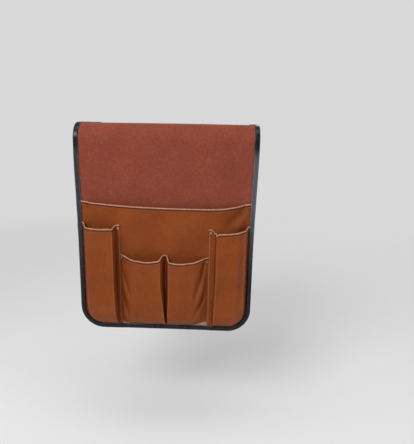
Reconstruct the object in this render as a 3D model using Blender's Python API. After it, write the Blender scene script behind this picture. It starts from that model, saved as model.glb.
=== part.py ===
"""Sofa armrest organizer: a foam-backed suede panel with a bound edge, draped over a sofa's arm.

The pocket flap hangs down the arm's outer side and carries a magazine pocket with four smaller
pockets sewn on it. The saddle lies on the arm. The tail flap hangs down the inner side.
The origin is the middle of the saddle's underside, where the panel rests on the arm.
+X runs along the arm, -Y is the outer side with the pockets, +Z is up. Sizes are in metres.
"""

import math

import bmesh
import bpy
from mathutils import Vector

mm = 0.001

# The bound panel and the arm that it fits
panel_width = 320 * mm
panel_length = 900 * mm
arm_width = 180 * mm
pocket_drop = 376 * mm
bend_radius = 25 * mm
corner_radius = 42 * mm
side_draw = 4 * mm
side_draw_end = 190 * mm

# Layers, from the arm outwards
lining_thickness = 0.8 * mm
foam_thickness = 2.0 * mm
face_thickness = 1.1 * mm
layer_gap = 0.3 * mm

# Edge binding: one tape folded over the panel's edge, which it pinches thinner
binding_width = 9 * mm
binding_thickness = 1.0 * mm
binding_crown = 0.9 * mm
binding_inset = 0.1 * mm
binding_round = 1.2 * mm
pinch_ramp = 2 * mm

# Folds, where the flaps turn on the saddle
fold_gap = 0.3 * mm
fold_clearance = 0.3 * mm

# Pocket leather
leather_thickness = 1.2 * mm
hem_thickness = 2.0 * mm
hem_height = 7 * mm
hem_step = 0.8 * mm
seat_clearance = 0.6 * mm
seam_gap = 0.5 * mm

# Magazine pocket
magazine_mouth_left = 137 * mm
magazine_mouth_right = 135 * mm
magazine_sag = 12 * mm
magazine_low_x = 75 * mm
magazine_depth_mouth = 9 * mm
magazine_depth_foot = 5 * mm
magazine_flange = 2 * mm
magazine_side_rise = 22 * mm
magazine_foot_rise = 26 * mm
drag_across = 54 * mm
drag_down = 44 * mm
drag_width = 7 * mm

# Small pockets: how far the tall ones reach in from the panel's sides, the seam between the
# lower ones, and each one's mouth, depth and seam allowance
remote_reach = 78 * mm
glasses_reach = 82.5 * mm
centre_seam_x = 0.5 * mm
foot_margin = 1.0 * mm
foot_flange = 1.6 * mm

remote_mouth_left = 176 * mm
remote_mouth_right = 177.5 * mm
remote_sag = 5 * mm
remote_depth = 24 * mm
remote_side_flange = 1.6 * mm
remote_seam_flange = 6.5 * mm
remote_side_lean = 8 * mm
remote_seam_lean = 1.5 * mm

glasses_mouth_left = 182 * mm
glasses_mouth_right = 178 * mm
glasses_sag = 5.5 * mm
glasses_depth = 20 * mm
glasses_side_flange = 1.6 * mm
glasses_seam_flange = 11 * mm
glasses_side_lean = 5 * mm
glasses_seam_lean = 1.5 * mm

phone_mouth_left = 231 * mm
phone_mouth_right = 232 * mm
phone_sag = 10 * mm
phone_depth = 21 * mm
phone_flange = 1.6 * mm
phone_side_lean = 14 * mm
phone_seam_lean = 4 * mm
phone_foot_lift = 3 * mm
phone_lift_run = 16 * mm

card_mouth_left = 232 * mm
card_mouth_right = 235 * mm
card_sag = 12 * mm
card_depth = 18 * mm
card_flange = 1.6 * mm
card_side_lean = 14 * mm
card_seam_lean = 4 * mm
card_foot_lift = 9 * mm
card_lift_run = 30 * mm

# How finely curves are drawn
bend_steps = 5
corner_steps = 7
side_steps = 6
round_steps = 3
crown_steps = 4
magazine_columns = 15
magazine_side_columns = 6
magazine_rows = 10
magazine_foot_rows = 7
front_columns = 5
fold_steps = 3
pocket_rows = 3
pocket_foot_rows = 8

# Shapes, as shares of the sizes that they follow
magazine_left_share = 3
magazine_right_share = 2
magazine_end_share = 1.3
drag_share = 0.32
drag_fade_share = 0.7
mouth_bow_share = 0.5
remote_low_share = 0.47
phone_low_share = 0.6
card_low_share = 0.32
glasses_low_share = 0.36
shoulder_share = 0.93
soft_shoulder_share = 0.87
wall_foot_share = 0.3
wall_top_share = 0.3
fold_front_share = 0.08
soft_front_share = 0.3
foot_round_share = 0.19
foot_power = 1.8
foot_row_power = 1.4
smooth_angle = math.radians(40)

# What follows from the sizes above
half_width = panel_width / 2
arm_half = arm_width / 2
flat_half = arm_half - bend_radius
foam_base = lining_thickness + layer_gap
face_base = foam_base + foam_thickness + layer_gap
panel_thickness = face_base + face_thickness
pinched_lining = binding_inset + binding_thickness + layer_gap
pinched_face = pinched_lining + lining_thickness + layer_gap
leg_base = pinched_face + face_thickness + layer_gap
binding_top = leg_base + binding_thickness + binding_crown
layer_edge = binding_thickness + layer_gap
strip_end = binding_width + layer_gap
magazine_inset = binding_width + seam_gap
remote_seam_x = remote_reach - half_width
glasses_seam_x = half_width - glasses_reach
field_edge = strip_end + pinch_ramp
quarter_turn = math.pi / 2
mid_bend = quarter_turn / 2
cut_swing = fold_gap / 2 / (bend_radius + panel_thickness / 2)
pocket_flap_straight = pocket_drop - bend_radius - panel_thickness
bend_length = quarter_turn * (bend_radius + panel_thickness / 2)
tail_flap_straight = panel_length - 2 * (flat_half + bend_length) - pocket_flap_straight
fold_radius = bend_radius + binding_top + fold_clearance
fold_reach = flat_half + fold_radius * math.sin(mid_bend)
fold_height = fold_radius * math.cos(mid_bend) - bend_radius

FRONT = -1
REAR = 1


def clear_scene():
    for thing in list(bpy.data.objects):
        bpy.data.objects.remove(thing)


def finish(name, colour, roughness):
    """A plain surface: base colour and roughness."""
    material = bpy.data.materials.new(name)
    material.use_nodes = True
    shader = material.node_tree.nodes["Principled BSDF"]
    shader.inputs["Base Color"].default_value = (*colour, 1)
    shader.inputs["Roughness"].default_value = roughness
    shader.inputs["Metallic"].default_value = 0
    return material


def make_object(name, bm, material, holder):
    """Turns a bmesh into a named object that hangs on its holder, an empty on its fold."""
    bmesh.ops.recalc_face_normals(bm, faces=bm.faces)
    mesh = bpy.data.meshes.new(name)
    bm.to_mesh(mesh)
    bm.free()
    mesh.materials.append(material)
    mesh.shade_smooth()
    mesh.set_sharp_from_angle(angle=smooth_angle)
    thing = bpy.data.objects.new(name, mesh)
    bpy.context.scene.collection.objects.link(thing)
    thing.parent = holder
    thing.matrix_parent_inverse = holder.matrix_world.inverted()
    return thing


def make_holder(name, place):
    """An empty that carries one body, standing on the axis that the body turns about."""
    holder = bpy.data.objects.new(name, None)
    holder.location = place
    bpy.context.scene.collection.objects.link(holder)
    bpy.context.view_layer.update()
    return holder


def smooth(share):
    """Eases from 0 to 1."""
    share = min(max(share, 0), 1)
    return share * share * (3 - 2 * share)


def on_panel(side, x, swing, drop, height, run=flat_half):
    """A point on the draped panel: run from the saddle's middle, turned by swing round the arm's
    edge, then drop down the arm's side. Height is above the panel's underside."""
    reach = bend_radius + height
    return Vector((
        x,
        side * (run + reach * math.sin(swing)),
        reach * math.cos(swing) - bend_radius - drop,
    ))


def drawn_in(drop, draw):
    """How far the pockets pull the panel's side edge in, this far below the bend."""
    return draw * smooth(drop / side_draw_end)


def edge_outline(inset, straight, draw):
    """The flap's edge below the bend, moved inwards by inset: (x, drop, outward x, outward drop),
    down the left side, round the corners and up the right side."""
    corner_top = straight - corner_radius
    radius = corner_radius - inset
    half = []
    for step in range(side_steps):
        drop = corner_top * step / side_steps
        half.append((half_width - drawn_in(drop, draw) - inset, drop, 1, 0))
    centre_x = half_width - draw - corner_radius
    for step in range(corner_steps + 1):
        turn = quarter_turn * step / corner_steps
        half.append((
            centre_x + radius * math.cos(turn),
            corner_top + radius * math.sin(turn),
            math.cos(turn),
            math.sin(turn),
        ))
    left = [(-x, drop, -out_x, out_drop) for x, drop, out_x, out_drop in half]
    return left + half[::-1]


def saddle_stations():
    """(side, swing, run) from the rear cut over the arm to the front cut."""
    last = mid_bend - cut_swing
    rear = [(REAR, last * (1 - step / bend_steps), flat_half) for step in range(bend_steps + 1)]
    front = [(FRONT, swing, run) for _, swing, run in rear[::-1]]
    return rear + front


def bend_swings():
    """Swings from a flap's cut down to where it hangs straight."""
    first = mid_bend + cut_swing
    return [first + (quarter_turn - first) * step / bend_steps for step in range(bend_steps + 1)]


def add_ring(bm, points):
    return [bm.verts.new(point) for point in points]


def bridge(bm, first, second, closed=True):
    """Faces between two rings, or two open rows, of as many points."""
    count = len(first) if closed else len(first) - 1
    for i in range(count):
        j = (i + 1) % len(first)
        bm.faces.new((first[i], first[j], second[j], second[i]))


def loft(rings):
    """A closed body through a list of rings, with a flat cap on each end."""
    bm = bmesh.new()
    made = [add_ring(bm, ring) for ring in rings]
    for first, second in zip(made, made[1:]):
        bridge(bm, first, second)
    bm.faces.new(made[0])
    bm.faces.new(made[-1])
    return bm


def layer_section(base, pinched, thickness):
    """Half of a layer's cross-section, from its field out to the edge and back: (inset, height)."""
    return [
        (field_edge, base),
        (strip_end, pinched),
        (layer_edge, pinched),
        (layer_edge, pinched + thickness),
        (strip_end, pinched + thickness),
        (field_edge, base + thickness),
    ]


def foam_section():
    """The foam stops at the stitch line, inside the pinched edge."""
    edge = field_edge + layer_gap
    return [(edge, foam_base), (edge, foam_base + foam_thickness)]


def section_ring(section, place):
    """A whole cross-section from its right half, placed by a function of x and height."""
    right = [place(half_width - inset, height) for inset, height in section]
    left = [place(inset - half_width, height) for inset, height in section]
    return right + left[::-1]


def saddle_layer(section):
    """A layer where it lies over the arm."""
    rings = []
    for side, swing, run in saddle_stations():
        rings.append(section_ring(
            section,
            lambda x, height: on_panel(side, x, swing, 0, height, run),
        ))
    return loft(rings)


def flap_layer(section, side, straight, draw):
    """A layer of a flap: rings round the bend, then the hanging sheet inside its outline."""
    bm = bmesh.new()
    rings = []
    for swing in bend_swings():
        rings.append(add_ring(bm, section_ring(
            section,
            lambda x, height: on_panel(side, x, swing, 0, height),
        )))
    for first, second in zip(rings, rings[1:]):
        bridge(bm, first, second)
    bm.faces.new(rings[0])
    half = len(section)
    top = rings[-1]
    rows = []
    for number, (inset, height) in enumerate(section):
        path = edge_outline(inset, straight, draw)
        row = add_ring(bm, [
            on_panel(side, x, quarter_turn, drop, height) for x, drop, _, _ in path[1:-1]
        ])
        rows.append([top[2 * half - 1 - number], *row, top[number]])
    for first, second in zip(rows, rows[1:]):
        bridge(bm, first, second, closed=False)
    bm.faces.new(rows[0])
    bm.faces.new(rows[-1])
    return bm


def binding_section():
    """The folded tape's cross-section, right round: (inset, height)."""
    foot = binding_inset
    crown_base = leg_base + binding_thickness
    points = [(binding_width, foot)]
    for step in range(round_steps + 1):
        turn = quarter_turn * step / round_steps
        points.append((
            binding_round * (1 - math.sin(turn)),
            foot + binding_round * (1 - math.cos(turn)),
        ))
    for step in range(crown_steps + 1):
        rise = math.pi * step / crown_steps / 2
        points.append((
            (binding_width / 2) * (1 - math.cos(rise)),
            crown_base - binding_round + (binding_round + binding_crown) * math.sin(rise),
        ))
    points += [
        (binding_width, crown_base),
        (binding_width, leg_base),
        (binding_thickness, leg_base),
        (binding_thickness, foot + binding_thickness),
        (binding_width, foot + binding_thickness),
    ]
    return points


def saddle_binding(hand):
    """The tape along one side of the saddle. Hand is -1 on the left and 1 on the right."""
    rings = []
    for side, swing, run in saddle_stations():
        rings.append([
            on_panel(side, hand * (half_width - inset), swing, 0, height, run)
            for inset, height in binding_section()
        ])
    return loft(rings)


def flap_binding(side, straight, draw):
    """The tape round a flap: over the bend, down one side, round the foot and up again."""
    section = binding_section()

    def bend_ring(hand, swing):
        return [
            on_panel(side, hand * (half_width - inset), swing, 0, height)
            for inset, height in section
        ]

    swings = bend_swings()
    rings = [bend_ring(-1, swing) for swing in swings]
    for x, drop, out_x, out_drop in edge_outline(0, straight, draw)[1:-1]:
        rings.append([
            on_panel(side, x - inset * out_x, quarter_turn, drop - inset * out_drop, height)
            for inset, height in section
        ])
    rings += [bend_ring(1, swing) for swing in swings[::-1]]
    return loft(rings)


def side_of(drop):
    """Half the pocket flap's width, this far below its bend."""
    return half_width - drawn_in(drop, side_draw)


def edge_distance(x, drop):
    """How far a place on the pocket flap lies inside the flap's edge."""
    across = side_of(drop) - abs(x)
    up = pocket_flap_straight - drop
    over_x = corner_radius - across
    over_drop = corner_radius - up
    if over_x > 0 and over_drop > 0:
        return corner_radius - math.hypot(over_x, over_drop)
    return min(across, up)


def magazine_mouth(x):
    """The magazine pocket's mouth, as a drop below the bend. It hangs lowest right of the middle."""
    edge = half_width - magazine_inset
    beyond = x > magazine_low_x
    reach = edge - magazine_low_x if beyond else edge + magazine_low_x
    share = min(abs(x - magazine_low_x) / reach, 1)
    bow = share ** (magazine_right_share if beyond else magazine_left_share)
    left = magazine_mouth_left - bend_radius - panel_thickness
    right = magazine_mouth_right - bend_radius - panel_thickness
    level = left + (right - left) * (x + edge) / (2 * edge)
    return level + magazine_sag * (1 - bow) ** magazine_end_share


def drag_fold(x, drop):
    """The valley that the pocket's weight draws down and inwards from its right upper corner: 1
    along its bottom, fading to its sides and its two ends."""
    start = Vector((half_width - magazine_inset, magazine_mouth(half_width - magazine_inset)))
    line = Vector((-drag_across, drag_down))
    away = Vector((x, drop)) - start
    along = away.dot(line) / line.length_squared
    if not 0 < along < 1:
        return 0
    across = (away - line * along).length / drag_width
    return math.sin(math.pi * along ** drag_fade_share) * math.exp(-across * across)


def magazine_rise(x, drop):
    """Height of the magazine pocket's inner surface above the panel's face."""
    inside = edge_distance(x, drop) - magazine_inset - magazine_flange
    foot = pocket_flap_straight - magazine_inset - magazine_flange - drop
    up = foot / (pocket_flap_straight - magazine_mouth(x))
    depth = magazine_depth_foot + (magazine_depth_mouth - magazine_depth_foot) * min(max(up, 0), 1)
    rise = depth * smooth(inside / magazine_side_rise) * smooth(foot / magazine_foot_rise)
    return rise * (1 - drag_share * drag_fold(x, drop))


def magazine_cover(x, drop):
    """The magazine pocket's leather, measured straight out from the panel where it slopes."""
    slope = (magazine_rise(x, drop - mm) - magazine_rise(x, drop + mm)) / (2 * mm)
    lean = (magazine_rise(x + mm, drop) - magazine_rise(x - mm, drop)) / (2 * mm)
    return leather_thickness * math.sqrt(1 + slope * slope + lean * lean)


def pocket_seat(x, drop):
    """Height above the panel's underside on which the small pockets are sewn."""
    under = panel_thickness + layer_gap + magazine_rise(x, drop) + magazine_cover(x, drop)
    return under + seat_clearance


def half_width_at(inset, drop):
    """Half the pocket flap's width at this drop, inside its edge by inset."""
    over = drop - (pocket_flap_straight - corner_radius)
    if over <= 0:
        return side_of(drop) - inset
    radius = corner_radius - inset
    return side_of(drop) - corner_radius + math.sqrt(radius ** 2 - min(over, radius) ** 2)


def foot_at(inset, x):
    """The drop of the pocket flap's foot at this x, inside its edge by inset."""
    over = abs(x) - (half_width - side_draw - corner_radius)
    radius = corner_radius - inset
    if over <= 0:
        return pocket_flap_straight - inset
    return pocket_flap_straight - corner_radius + math.sqrt(radius ** 2 - min(over, radius) ** 2)


def row_places(left, right, lows, mouth_drops, columns, v):
    """Places (x, drop) across a sheet at v, its share of the way from the foot to the mouth. Left
    and right give x at a drop. A column is a share of the width and a shift, and lows and
    mouth_drops have the drops of the foot and the mouth there."""
    drops = [low + (mouth_drop - low) * v for low, mouth_drop in zip(lows, mouth_drops)]
    start = left(drops[0])
    end = right(drops[-1])
    return [
        (start + (end - start) * share + shift, drop)
        for (share, shift), drop in zip(columns, drops)
    ]


def even_shares(start, end, count):
    """Shares from start to end in even steps, without the start itself."""
    return [start + (end - start) * step / count for step in range(1, count + 1)]


def with_hem(shares, height):
    """Adds the rows that step the leather up to its hem, on a sheet of this height."""
    hem = 1 - hem_height / height
    step = hem - hem_step / height
    return [share for share in shares if share < step - hem_step / height] + [step, hem, 1]


def hem_extra(v, height):
    """How much thicker the leather is where it is folded over at the mouth."""
    inside_hem = (1 - v) * height < hem_height + hem_step / 2
    return hem_thickness - leather_thickness if inside_hem else 0


def make_shell(name, inside, outside, material, holder):
    """A closed leather wall between its inner and outer surfaces, both rows from foot to mouth."""
    bm = bmesh.new()
    surfaces = [[add_ring(bm, row) for row in rows] for rows in (inside, outside)]
    for rows in surfaces:
        for first, second in zip(rows, rows[1:]):
            bridge(bm, first, second, closed=False)
    inner, outer = surfaces
    for edge in (0, -1):
        bridge(bm, inner[edge], outer[edge], closed=False)
        bridge(bm, [row[edge] for row in inner], [row[edge] for row in outer], closed=False)
    return make_object(name, bm, material, holder)


def magazine_rows_of(covered):
    """The magazine pocket's inner surface, or its outer one where covered is true."""
    inset = magazine_inset
    low = pocket_flap_straight - inset
    edge = half_width_at(inset, magazine_mouth(0))
    height = low - magazine_mouth(0)
    seam = magazine_flange / height
    raised = (magazine_flange + magazine_foot_rise) / height
    up = [0, seam, *even_shares(seam, raised, magazine_foot_rows)]
    up = with_hem([*up, *even_shares(raised, 1, magazine_rows)], height)
    side = [0, magazine_flange]
    for share in even_shares(0, 1, magazine_side_columns):
        side.append(magazine_flange + magazine_side_rise * share)
    columns = [(0, shift) for shift in side]
    for share in even_shares(0, 1, magazine_columns)[:-1]:
        columns.append((share, side[-1] * (1 - 2 * share)))
    columns += [(1, -shift) for shift in side[::-1]]
    mouth_drops = [magazine_mouth(edge * (2 * share - 1) + shift) for share, shift in columns]
    rows = []
    for v in up:
        extra = hem_extra(v, height) if covered else 0
        row = []
        for x, drop in row_places(
            lambda drop: -half_width_at(inset, drop),
            lambda drop: half_width_at(inset, drop),
            [low] * len(columns), mouth_drops, columns, v,
        ):
            above = magazine_rise(x, drop) + (magazine_cover(x, drop) + extra if covered else 0)
            place = panel_thickness + layer_gap + above
            row.append(on_panel(FRONT, x, quarter_turn, drop, place))
        rows.append(row)
    return rows


def eased_corner(before, corner, after):
    """Places round a corner, from one before it to one after it."""
    places = []
    for step in range(fold_steps + 1):
        share = step / fold_steps
        first = before.lerp(corner, share)
        places.append(first.lerp(corner.lerp(after, share), share))
    return places


def wall_profile(flange, lean, shoulder, ease, front):
    """One side of a small pocket, from its edge: (inset, share of the depth). It is flat on its
    seam allowance, climbs a wall and folds over onto the front."""
    foot = Vector((flange, 0))
    fold = Vector((flange + lean, shoulder))
    out = Vector((front * ease, (1 - shoulder) * ease))
    low = eased_corner(foot - Vector((foot_flange / 2, 0)), foot, foot.lerp(fold, wall_foot_share))
    high = eased_corner(fold.lerp(foot, wall_top_share), fold, fold + out)
    return [Vector((0, 0)), *low, *high]


def pocket_columns_of(cut, wall):
    """Columns across a small pocket, each with its share of the depth. The walls keep to their
    own edges of the pocket, and the front between their folds is slightly crowned."""
    profiles = []
    for side in (cut["left_wall"], cut["right_wall"]):
        soft = side["soft"]
        profiles.append(wall_profile(
            side["flange"] + wall,
            side["lean"],
            soft_shoulder_share if soft else shoulder_share,
            soft_front_share if soft else fold_front_share,
            cut["width"] / 2,
        ))
    left, right = profiles
    columns = [((0, inset), bulge) for inset, bulge in left]
    start, end = left[-1], right[-1]
    for share in even_shares(0, 1, front_columns)[:-1]:
        level = start.y + (end.y - start.y) * share
        crown = (1 - level) * math.sin(math.pi * share)
        columns.append(((share, start.x * (1 - share) - end.x * share), level + crown))
    columns += [((1, -inset), bulge) for inset, bulge in right[::-1]]
    return [place for place, _ in columns], [bulge for _, bulge in columns]


def mouth_drop(cut, share, bulge):
    """The drop of a small pocket's mouth, at this share of the way across it. It hangs lowest at
    the pocket's low share."""
    level = cut["mouth_left"] + (cut["mouth_right"] - cut["mouth_left"]) * share
    bow = math.sin(math.pi * share ** (math.log(2) / -math.log(cut["low_share"])))
    return level + cut["sag"] * bulge * (1 - mouth_bow_share + mouth_bow_share * bow)


def foot_rounding(share):
    """How the bulge grows up from the pocket's foot."""
    left = 1 - min(share / foot_round_share, 1)
    return (1 - left ** foot_power) ** (1 / foot_power)


def small_pocket_rows_of(cut, covered):
    """A small pocket's inner surface, or its outer one where covered is true."""
    wall = 0 if covered else leather_thickness
    columns, bulges = pocket_columns_of(cut, wall)
    across = [share + shift / cut["width"] for share, shift in columns]
    mouth_drops = [mouth_drop(cut, share, bulge) for share, bulge in zip(across, bulges)]
    lows = [cut["low"](share) for share in across]
    height = lows[0] - cut["mouth_left"]
    seam = (foot_flange + wall) / height
    rounded = [
        seam + (1 - seam) * foot_round_share * share ** foot_row_power
        for share in [0, *even_shares(0, 1, pocket_foot_rows)]
    ]
    up = with_hem([0, *rounded, *even_shares(rounded[-1], 1, pocket_rows)], height)
    rows = []
    for v in up:
        cover = leather_thickness + hem_extra(v, height) if covered else 0
        row = []
        places = row_places(cut["left"], cut["right"], lows, mouth_drops, columns, v)
        for (x, drop), low, bulge in zip(places, lows, bulges):
            foot = min(cut["foot"](x), low)
            swell = foot_rounding(max(foot - drop - foot_flange - wall, 0) / height)
            above = pocket_seat(x, drop) + cover + cut["depth"] * bulge * swell
            row.append(on_panel(FRONT, x, quarter_turn, drop, above))
        rows.append(row)
    return rows


def side_wall(flange, lean, soft=False):
    """One side of a small pocket: its seam allowance, how far its wall leans in, and whether it
    climbs in a soft slope."""
    return {"flange": flange, "lean": lean, "soft": soft}


def tall_pocket_cuts():
    """The two tall pockets, whose outer sides and corners follow the binding."""
    top = bend_radius + panel_thickness
    inset = magazine_inset + seam_gap
    follow = {
        "low": lambda share: pocket_flap_straight - inset,
        "foot": lambda x: foot_at(inset, x),
    }
    remote = {
        **follow,
        "left": lambda drop: -half_width_at(inset, drop),
        "right": lambda drop: remote_seam_x,
        "width": remote_seam_x + half_width - inset,
        "mouth_left": remote_mouth_left - top,
        "mouth_right": remote_mouth_right - top,
        "sag": remote_sag,
        "low_share": remote_low_share,
        "depth": remote_depth,
        "left_wall": side_wall(remote_side_flange, remote_side_lean),
        "right_wall": side_wall(remote_seam_flange, remote_seam_lean),
    }
    glasses = {
        **follow,
        "left": lambda drop: glasses_seam_x,
        "right": lambda drop: half_width_at(inset, drop),
        "width": half_width - inset - glasses_seam_x,
        "mouth_left": glasses_mouth_left - top,
        "mouth_right": glasses_mouth_right - top,
        "sag": glasses_sag,
        "low_share": glasses_low_share,
        "depth": glasses_depth,
        "left_wall": side_wall(glasses_seam_flange, glasses_seam_lean),
        "right_wall": side_wall(glasses_side_flange, glasses_side_lean),
    }
    return remote, glasses


def centre_pocket_cuts():
    """The two lower pockets, which share the centre seam. Each is soft on its outer side, where
    its foot curves up."""
    top = bend_radius + panel_thickness
    foot = pocket_flap_straight - magazine_inset - seam_gap - foot_margin

    def centre_cut(start, end, lift, lift_run, outer_left):
        width = end - start

        def low(share):
            away = share if outer_left else 1 - share
            return foot - lift * smooth(1 - away * width / lift_run)

        return {
            "low": low,
            "foot": lambda x: low((x - start) / width),
            "left": lambda drop: start,
            "right": lambda drop: end,
            "width": width,
        }

    phone = {
        **centre_cut(
            remote_seam_x + seam_gap, centre_seam_x - seam_gap / 2,
            phone_foot_lift, phone_lift_run, True,
        ),
        "mouth_left": phone_mouth_left - top,
        "mouth_right": phone_mouth_right - top,
        "sag": phone_sag,
        "low_share": phone_low_share,
        "depth": phone_depth,
        "left_wall": side_wall(phone_flange, phone_side_lean, soft=True),
        "right_wall": side_wall(phone_flange, phone_seam_lean),
    }
    card = {
        **centre_cut(
            centre_seam_x + seam_gap / 2, glasses_seam_x - seam_gap,
            card_foot_lift, card_lift_run, False,
        ),
        "mouth_left": card_mouth_left - top,
        "mouth_right": card_mouth_right - top,
        "sag": card_sag,
        "low_share": card_low_share,
        "depth": card_depth,
        "left_wall": side_wall(card_flange, card_seam_lean),
        "right_wall": side_wall(card_flange, card_side_lean, soft=True),
    }
    return phone, card


def make_pockets(material, holder):
    """The magazine pocket, sewn on down both sides and along the foot, and the four on its front."""
    remote, glasses = tall_pocket_cuts()
    phone, card = centre_pocket_cuts()
    make_shell(
        "magazine_pocket", magazine_rows_of(False), magazine_rows_of(True), material, holder
    )
    for name, cut in (
        ("remote_pocket", remote),
        ("phone_pocket", phone),
        ("card_pocket", card),
        ("glasses_pocket", glasses),
    ):
        inside = small_pocket_rows_of(cut, False)
        make_shell(name, inside, small_pocket_rows_of(cut, True), material, holder)


def make_panel(suede, foam, lining, vinyl, saddle, pocket_flap, tail_flap):
    """The layered panel and its binding, in the three lengths between its folds."""
    layers = (
        ("face", layer_section(face_base, pinched_face, face_thickness), suede),
        ("foam", foam_section(), foam),
        ("lining", layer_section(0, pinched_lining, lining_thickness), lining),
    )
    flaps = (
        ("pocket_flap", FRONT, pocket_flap_straight, side_draw, pocket_flap),
        ("tail_flap", REAR, tail_flap_straight, 0, tail_flap),
    )
    for layer, section, material in layers:
        make_object("saddle_" + layer, saddle_layer(section), material, saddle)
        for flap, side, straight, draw, holder in flaps:
            body = flap_layer(section, side, straight, draw)
            make_object(flap + "_" + layer, body, material, holder)
    make_object("saddle_binding_left", saddle_binding(-1), vinyl, saddle)
    make_object("saddle_binding_right", saddle_binding(1), vinyl, saddle)
    for flap, side, straight, draw, holder in flaps:
        make_object(flap + "_binding", flap_binding(side, straight, draw), vinyl, holder)


def build():
    clear_scene()
    suede = finish("suede", (0.26, 0.065, 0.036), 0.9)
    leather = finish("leather", (0.24, 0.068, 0.022), 0.45)
    vinyl = finish("black vinyl", (0.02, 0.022, 0.027), 0.35)
    foam = finish("foam", (0.5, 0.48, 0.42), 0.95)
    lining = finish("lining", (0.03, 0.03, 0.032), 0.9)
    saddle = make_holder("saddle", (0, 0, 0))
    pocket_flap = make_holder("pocket_flap", (0, FRONT * fold_reach, fold_height))
    tail_flap = make_holder("tail_flap", (0, REAR * fold_reach, fold_height))
    make_panel(suede, foam, lining, vinyl, saddle, pocket_flap, tail_flap)
    make_pockets(leather, pocket_flap)
    print("fold axis reach and height:", round(fold_reach, 6), round(fold_height, 6))


build()
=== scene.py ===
"""Looks of the armrest organizer: the bound suede panel, its leather pockets, thread and light.

Every cloth piece starts as its flat cut, a grid, which is then laid over the arm, bent down its
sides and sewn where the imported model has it. Sizes are in metres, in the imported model's frame.
A run is measured on the cut from the panel's middle line, a level down from the panel's top, a
drop down the flap from the end of the bend, and a height out from the arm.
"""

import math

import bmesh
import bpy
import numpy as np
from mathutils import Matrix, Vector, noise
from mathutils.bvhtree import BVHTree


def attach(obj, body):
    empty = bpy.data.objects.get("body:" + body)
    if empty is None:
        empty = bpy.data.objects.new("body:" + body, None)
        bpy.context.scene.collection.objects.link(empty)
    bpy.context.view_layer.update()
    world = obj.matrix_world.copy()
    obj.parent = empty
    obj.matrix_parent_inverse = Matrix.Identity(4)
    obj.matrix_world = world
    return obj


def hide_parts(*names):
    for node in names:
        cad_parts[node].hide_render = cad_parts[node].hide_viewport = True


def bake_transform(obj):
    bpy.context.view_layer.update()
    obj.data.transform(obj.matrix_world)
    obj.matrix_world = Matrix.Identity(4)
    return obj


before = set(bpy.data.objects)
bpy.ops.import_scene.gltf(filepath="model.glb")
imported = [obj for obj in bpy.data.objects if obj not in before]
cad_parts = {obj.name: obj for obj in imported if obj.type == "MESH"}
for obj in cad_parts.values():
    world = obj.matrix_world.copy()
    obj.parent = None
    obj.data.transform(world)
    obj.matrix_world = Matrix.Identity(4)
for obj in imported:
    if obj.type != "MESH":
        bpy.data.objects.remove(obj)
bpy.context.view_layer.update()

mm = 0.001

# The bound panel
half_width = 160 * mm
half_length = 450 * mm
arm_half = 90 * mm
bend_radius = 25 * mm
corner_radius = 42 * mm
side_draw = 3.3 * mm
side_draw_end = 190 * mm
pocket_drop = 376 * mm
saddle_slope = 0.007
saddle_crown = 0.6 * mm
hang_run = 60 * mm

# Layers
lining_thickness = 0.8 * mm
foam_base = 1.1 * mm
foam_thickness = 2.0 * mm
face_thickness = 1.1 * mm
panel_thickness = 4.5 * mm
pinched_lining = 1.4 * mm
pinched_face = 2.5 * mm
pinch_start = 7 * mm
pinch_run = 5 * mm
layer_edge = 1.6 * mm
foam_edge = 11.6 * mm

# Binding
binding_width = 7.2 * mm
binding_thickness = 0.9 * mm
binding_foot = 0.1 * mm
binding_round = 1.7 * mm
binding_crown = 1.3 * mm
crown_on_arm = 0.1
crown_run = 30 * mm
binding_cut = 23.5 * mm
gather_depth = 0.28 * mm
gather_length = 5.2 * mm
gather_share = 1.4
drift_height = 0.25 * mm
drift_inset = 0.35 * mm

# Leather
leather_thickness = 1.0 * mm
leather_gap = 0.15 * mm
tuck = 3.2 * mm
hem_fold = 1.1 * mm
hem_end = 8 * mm
hem_end_run = 2 * mm
hem_step = 0.25 * mm
hem_lift = 1.2 * mm
hem_lift_end = 10 * mm
hem_lift_run = 4 * mm
hem_bump = 0.6 * mm
bump_drop = 3 * mm
bump_run = 8 * mm
roll_height = 0.3 * mm
roll_run = 1.6 * mm
groove_drop = 2.7 * mm
groove_depth = 0.6 * mm
groove_width = 0.75 * mm

# Thread
stitch_pitch = 3.4 * mm
stitch_length = 2.5 * mm
stitch_rise = 0.5
seam_stitch = 2.0 * mm
seam_pitch = 3.9 * mm
seam_thread = 0.5 * mm
fine_thread = 0.26 * mm
tack_thread = 0.34 * mm
tack_step = 0.75 * mm
tack_width = 3.4 * mm
tack_count = 6
seam_points = 60
mouth_points = 120

# Sizes that follow
flat_half = arm_half - bend_radius
bend_length = math.pi / 2 * (bend_radius + panel_thickness / 2)
bend_end = flat_half + bend_length
front_straight = pocket_drop - bend_radius - panel_thickness
rear_straight = half_length * 2 - 2 * bend_end - front_straight
top = bend_radius + panel_thickness
leather_rise = leather_gap + leather_thickness
sewn_edge = binding_width + 1.0 * mm
free_edge = sewn_edge + 1.5 * mm

# The panel's two halves, by the sign of Y
FRONT = -1
REAR = 1
STRAIGHT = {FRONT: front_straight, REAR: rear_straight}
DRAW = {FRONT: side_draw, REAR: 0}


def smooth(share):
    share = min(max(share, 0), 1)
    return share * share * (3 - 2 * share)


def hump(distance, width):
    return math.exp(-(distance / width) ** 2)


def spread(start, end, count):
    return [start + (end - start) * step / count for step in range(count + 1)]


# Unevenness

fold_skew = 0.7
ripple_mean = 0.495 * mm
ripple_on_arm = 0.35
ripple_waves = ((9, 7, 0.4, 0.405), (26, 24, 7.1, 0.108))


def wavy(x, run, waves):
    """Uneven height from noises, each by its scale across, its scale along, its place and its
    height in mm."""
    total = 0
    for across, along, place, height in waves:
        total += height * mm * noise.noise(Vector((x * across, run * along, place)))
    return total


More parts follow.
